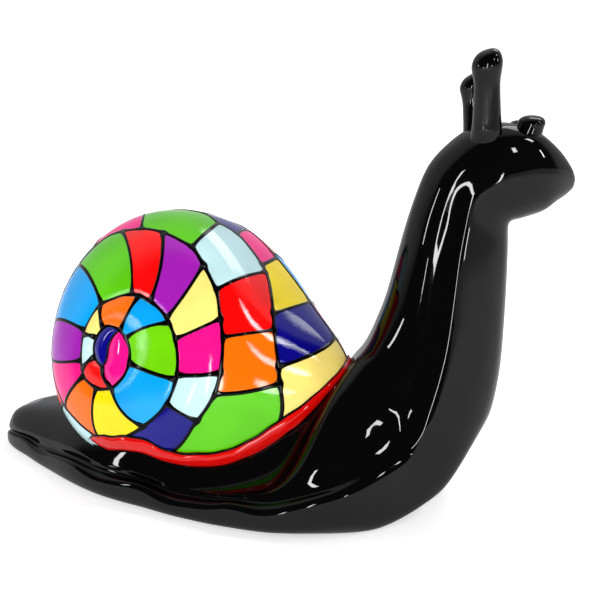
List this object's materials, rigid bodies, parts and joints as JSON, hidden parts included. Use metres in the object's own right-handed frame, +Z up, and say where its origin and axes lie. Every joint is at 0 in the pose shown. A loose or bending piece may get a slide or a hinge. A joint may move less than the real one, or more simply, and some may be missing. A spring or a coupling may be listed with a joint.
{
  "type": "snail figurine",
  "caption": "Large glossy snail statue with a raised neck and head, a coiled shell painted in bright patches and a red collar; rests on its flat sole.",
  "frame": {"origin": "floor point under the middle of the whole snail's box", "axes": "+X from the tail to the head, +Y to the snail's left, +Z up"},
  "size_m": [0.6042, 0.284, 0.4544],
  "materials": {
    "black_lacquer": "hand-painted high-gloss black lacquer over a moulded skin",
    "shell_paint": "hand-painted patches of bright gloss colour with raised black lines",
    "red_lacquer": "high-gloss red lacquer with slight brush marks",
    "moulded_strip": "plain moulded resin strip",
    "cover_board": "matt black board",
    "block_wood": "plain sawn softwood",
    "pad_felt": "black felt",
    "steel": "bright zinc-plated steel"
  },
  "bodies": {
    "root": {"body_right_half": "black_lacquer", "body_left_half": "black_lacquer", "shell_spire_half": "shell_paint", "shell_far_half": "shell_paint", "mantle_collar": "red_lacquer", "long_tentacle_right": "black_lacquer", "long_tentacle_left": "black_lacquer", "short_tentacle_right": "black_lacquer", "short_tentacle_left": "black_lacquer", "tentacle_pins": "steel", "shell_joint_ring": "moulded_strip", "base_plate": "cover_board", "rim_blocks": "block_wood", "base_screws": "steel", "floor_pads": "pad_felt", "shell_bolts": "steel", "bolt_washers": "steel", "bolt_nuts": "steel"}
  },
  "joints": []
}
